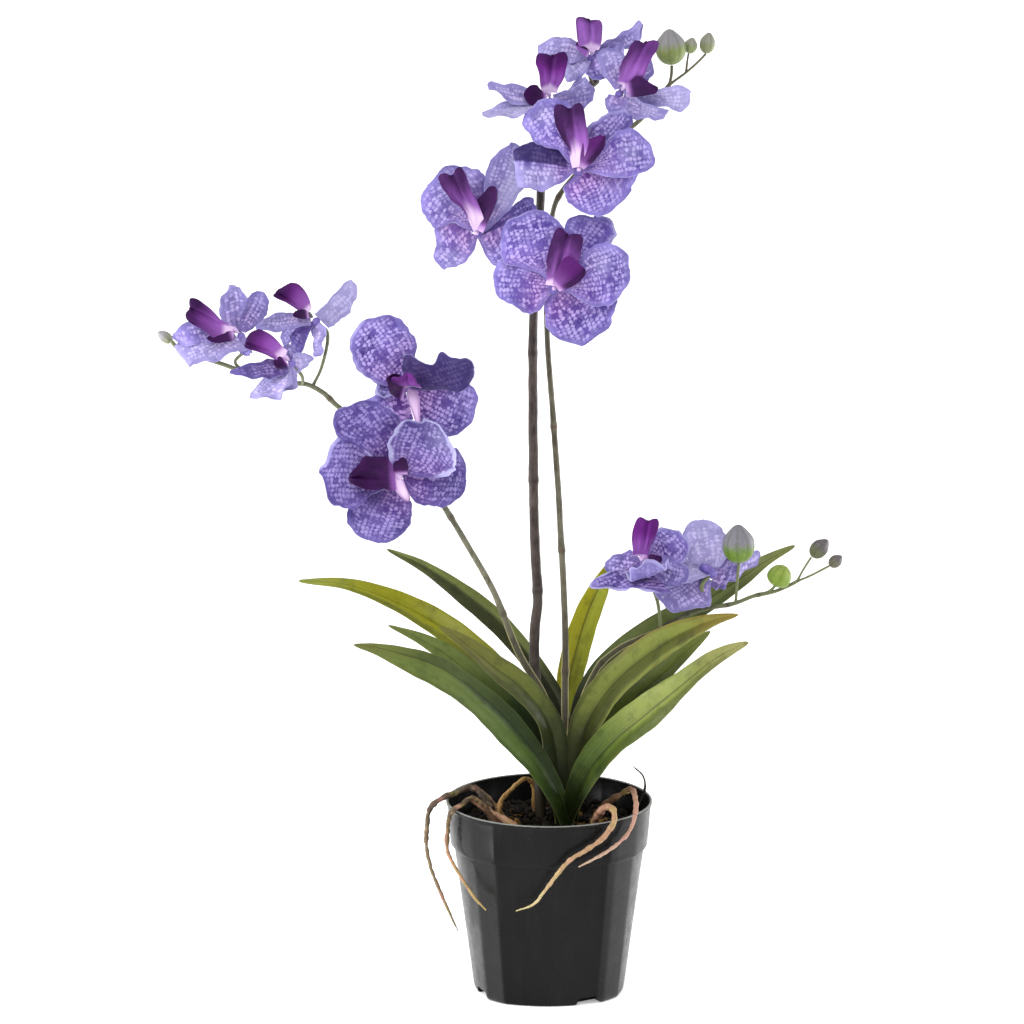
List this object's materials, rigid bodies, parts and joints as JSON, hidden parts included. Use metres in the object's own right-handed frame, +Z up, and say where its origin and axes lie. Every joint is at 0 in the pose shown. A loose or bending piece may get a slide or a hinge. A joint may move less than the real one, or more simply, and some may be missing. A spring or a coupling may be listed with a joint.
{
  "type": "potted vanda orchid",
  "caption": "Free-standing blue-violet vanda orchid with strap leaves, arching flower spikes, buds and hanging air roots, grown in a round tapered nursery pot filled with bark.",
  "frame": {"origin": "the centre of the pot's flat underside", "axes": "+Z up along the pot's axis, -Y towards the side seen in the picture, +X to that view's right"},
  "size_m": [0.4293, 0.1501, 0.621],
  "materials": {
    "petal": "blue-violet net pattern, satin",
    "lip": "deep plum purple, satin",
    "bud": "ribbed green and lilac, satin",
    "stem": "grey-green to dark brown, semi-matte",
    "leaf": "olive to mid green strap, semi-gloss",
    "pot": "charcoal thin-walled plastic, satin",
    "root": "tan, knobbly, matt",
    "bark": "dark coarse bark chips, matt"
  },
  "bodies": {
    "root": {"flower_01_petals": "petal", "flower_01_lip": "lip", "flower_02_petals": "petal", "flower_02_lip": "lip", "flower_03_petals": "petal", "flower_03_lip": "lip", "flower_04_petals": "petal", "flower_04_lip": "lip", "flower_05_petals": "petal", "flower_05_lip": "lip", "flower_06_petals": "petal", "flower_06_lip": "lip", "flower_07_petals": "petal", "flower_07_lip": "lip", "flower_08_petals": "petal", "flower_08_lip": "lip", "flower_09_petals": "petal", "flower_09_lip": "lip", "flower_10_petals": "petal", "flower_10_lip": "lip", "flower_11_petals": "petal", "flower_11_lip": "lip", "flower_12_petals": "petal", "flower_12_lip": "lip", "flower_13_petals": "petal", "flower_13_lip": "lip", "bud_top_large": "bud", "bud_top_small": "bud", "bud_top_end": "bud", "bud_right_large": "bud", "bud_right_green": "bud", "bud_right_grey": "bud", "bud_right_end": "bud", "bud_left_end": "bud", "main_spike": "stem", "second_spike": "stem", "left_spike": "stem", "right_spike": "stem", "leaf_01": "leaf", "leaf_02": "leaf", "leaf_03": "leaf", "leaf_04": "leaf", "leaf_05": "leaf", "leaf_06": "leaf", "leaf_07": "leaf", "leaf_08": "leaf", "leaf_09": "leaf", "leaf_10": "leaf", "pot": "pot", "root_01": "root", "root_02": "root", "root_03": "root", "root_04": "root", "root_05": "root", "root_06": "root", "root_07": "root", "root_08": "root", "bark_medium": "bark"}
  },
  "joints": []
}
